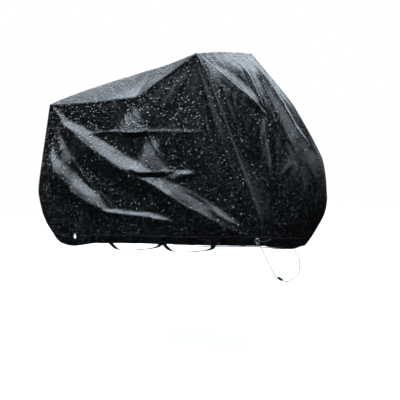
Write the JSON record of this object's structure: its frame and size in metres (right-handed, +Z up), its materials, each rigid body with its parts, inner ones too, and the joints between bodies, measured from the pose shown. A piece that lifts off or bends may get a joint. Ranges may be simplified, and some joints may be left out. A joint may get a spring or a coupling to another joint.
{
  "type": "bicycle cover",
  "caption": "Fitted hollow cover of coated cloth for a pair of bicycles, tented from a high crown to a lower end, with a drawn hem, eyelets, belly straps and a tie.",
  "frame": {"origin": "underside of the crown's middle, where the cover rests on what it is drawn over", "axes": "+X along the cover to its right-hand, higher end; -Y towards the near side; +Z up"},
  "size_m": [1.9619, 0.6071, 1.3123],
  "materials": {
    "coated_cloth": "black coated polyester, semi-gloss and wet with rain",
    "eyelet_metal": "nickel-plated brass",
    "webbing": "black woven polypropylene",
    "cord": "dark braided nylon",
    "lock_plastic": "moulded nylon"
  },
  "bodies": {
    "root": {"near_side_panel": "coated_cloth", "far_side_panel": "coated_cloth", "top_gusset": "coated_cloth", "eyelet_patch_left": "coated_cloth", "eyelet_patch_right": "coated_cloth", "eyelet_left": "eyelet_metal", "eyelet_right": "eyelet_metal", "belly_strap_left": "webbing", "belly_strap_right": "webbing", "hem_cord": "cord", "tie_cord": "cord", "tie_return": "cord", "tie_tail": "cord", "cord_lock": "lock_plastic"}
  },
  "joints": []
}
